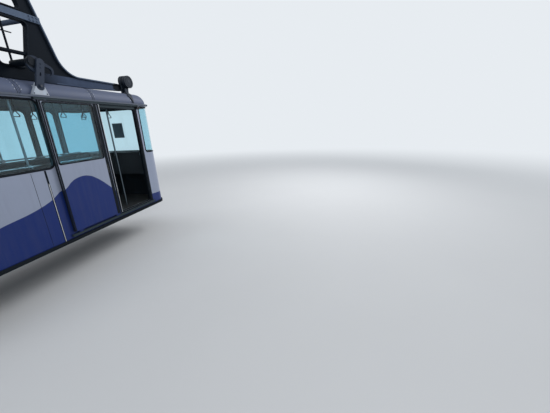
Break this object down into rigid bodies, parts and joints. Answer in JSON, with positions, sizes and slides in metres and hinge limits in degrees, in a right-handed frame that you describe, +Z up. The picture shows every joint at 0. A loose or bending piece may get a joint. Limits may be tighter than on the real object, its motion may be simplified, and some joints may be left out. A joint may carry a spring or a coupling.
{
  "type": "cable car cabin",
  "caption": "Aerial tramway cabin with sliding side doors and wrap-round end windows, hung by a flared two-frame hanger from a wheeled carriage for two track ropes",
  "frame": {"origin": "midway between the two track ropes, at the height of their centres, above the cabin's middle", "axes": "+X along the ropes towards the end by the doorway whose door stands open, +Y across the ropes, away from that doorway, +Z up"},
  "size_m": [5.46, 2.3, 6.31],
  "materials": {
    "body_paint": "satin silver grey, blue along the lower panels",
    "door_paint": "satin blue below the belt, silver grey above",
    "roof_paint": "satin silver grey",
    "tinted_glass": "polished, tinted turquoise",
    "aluminium_trim": "drawn, slightly dull",
    "floor_covering": "studded, matt",
    "underframe_paint": "matt dark grey",
    "black_rubber": "matt",
    "console_panel": "satin grey",
    "rail_metal": "brushed",
    "strap_plastic": "matt black",
    "hanger_paint": "satin blue grey",
    "bracket_paint": "satin white",
    "carriage_paint": "satin blue grey",
    "bare_steel": "machined",
    "wheel_iron": "machined groove, painted web"
  },
  "bodies": {
    "carriage": {"main_rocker": "carriage_paint", "bogie_plates": "carriage_paint", "bolsters": "bare_steel", "wheel_axles": "bare_steel", "hanger_pin": "bare_steel"},
    "cabin": {"buffer_strip": "black_rubber", "consoles": "console_panel", "damper_drums": "black_rubber", "door_poles": "rail_metal", "door_rails_far": "aluminium_trim", "door_rails_platform": "aluminium_trim", "end_glass_uphill": "tinted_glass", "end_glass_valley": "tinted_glass", "end_rails": "rail_metal", "end_wall_uphill": "body_paint", "end_wall_valley": "body_paint", "floor": "floor_covering", "gutter": "aluminium_trim", "handrails": "rail_metal", "hanger_frame_far": "hanger_paint", "hanger_frame_platform": "hanger_paint", "hanger_ties": "hanger_paint", "hanging_rings": "strap_plastic", "head_beam": "hanger_paint", "hold_down_bands": "hanger_paint", "roof_brackets": "bracket_paint", "roof_middle": "roof_paint", "roof_uphill": "roof_paint", "roof_valley": "roof_paint", "side_glass_far": "tinted_glass", "side_glass_platform": "tinted_glass", "side_wall_far": "body_paint", "side_wall_platform": "body_paint", "sling_rings": "hanger_paint", "sling_straps": "hanger_paint", "underframe": "underframe_paint"},
    "door_platform": {"door_leaf_platform": "door_paint", "door_glass_platform": "tinted_glass"},
    "door_far": {"door_leaf_far": "door_paint", "door_glass_far": "tinted_glass"},
    "wheel_far_uphill_inner": {"wheel_far_uphill_inner": "wheel_iron"},
    "wheel_far_uphill_outer": {"wheel_far_uphill_outer": "wheel_iron"},
    "wheel_far_valley_inner": {"wheel_far_valley_inner": "wheel_iron"},
    "wheel_far_valley_outer": {"wheel_far_valley_outer": "wheel_iron"},
    "wheel_platform_uphill_inner": {"wheel_platform_uphill_inner": "wheel_iron"},
    "wheel_platform_uphill_outer": {"wheel_platform_uphill_outer": "wheel_iron"},
    "wheel_platform_valley_inner": {"wheel_platform_valley_inner": "wheel_iron"},
    "wheel_platform_valley_outer": {"wheel_platform_valley_outer": "wheel_iron"}
  },
  "joints": [
    {"name": "cabin_swing", "type": "hinge", "parent": "carriage", "child": "cabin", "pos_m": [0, 0, -0.2], "axis": [0, 1, 0], "range_deg": [-30, 30]},
    {"name": "door_platform_slide", "type": "slide", "parent": "cabin", "child": "door_platform", "axis": [1, 0, 0], "range_m": [0, 1.085]},
    {"name": "door_far_slide", "type": "slide", "parent": "cabin", "child": "door_far", "axis": [1, 0, 0], "range_m": [0, 1.085]},
    {"name": "wheel_far_uphill_inner_spin", "type": "hinge", "parent": "carriage", "child": "wheel_far_uphill_inner", "pos_m": [-0.28, 0.35, 0.175], "axis": [0, 1, 0], "continuous": true},
    {"name": "wheel_far_uphill_outer_spin", "type": "hinge", "parent": "carriage", "child": "wheel_far_uphill_outer", "pos_m": [-0.76, 0.35, 0.175], "axis": [0, 1, 0], "continuous": true},
    {"name": "wheel_far_valley_inner_spin", "type": "hinge", "parent": "carriage", "child": "wheel_far_valley_inner", "pos_m": [0.28, 0.35, 0.175], "axis": [0, 1, 0], "continuous": true},
    {"name": "wheel_far_valley_outer_spin", "type": "hinge", "parent": "carriage", "child": "wheel_far_valley_outer", "pos_m": [0.76, 0.35, 0.175], "axis": [0, 1, 0], "continuous": true},
    {"name": "wheel_platform_uphill_inner_spin", "type": "hinge", "parent": "carriage", "child": "wheel_platform_uphill_inner", "pos_m": [-0.28, -0.35, 0.175], "axis": [0, 1, 0], "continuous": true},
    {"name": "wheel_platform_uphill_outer_spin", "type": "hinge", "parent": "carriage", "child": "wheel_platform_uphill_outer", "pos_m": [-0.76, -0.35, 0.175], "axis": [0, 1, 0], "continuous": true},
    {"name": "wheel_platform_valley_inner_spin", "type": "hinge", "parent": "carriage", "child": "wheel_platform_valley_inner", "pos_m": [0.28, -0.35, 0.175], "axis": [0, 1, 0], "continuous": true},
    {"name": "wheel_platform_valley_outer_spin", "type": "hinge", "parent": "carriage", "child": "wheel_platform_valley_outer", "pos_m": [0.76, -0.35, 0.175], "axis": [0, 1, 0], "continuous": true}
  ]
}
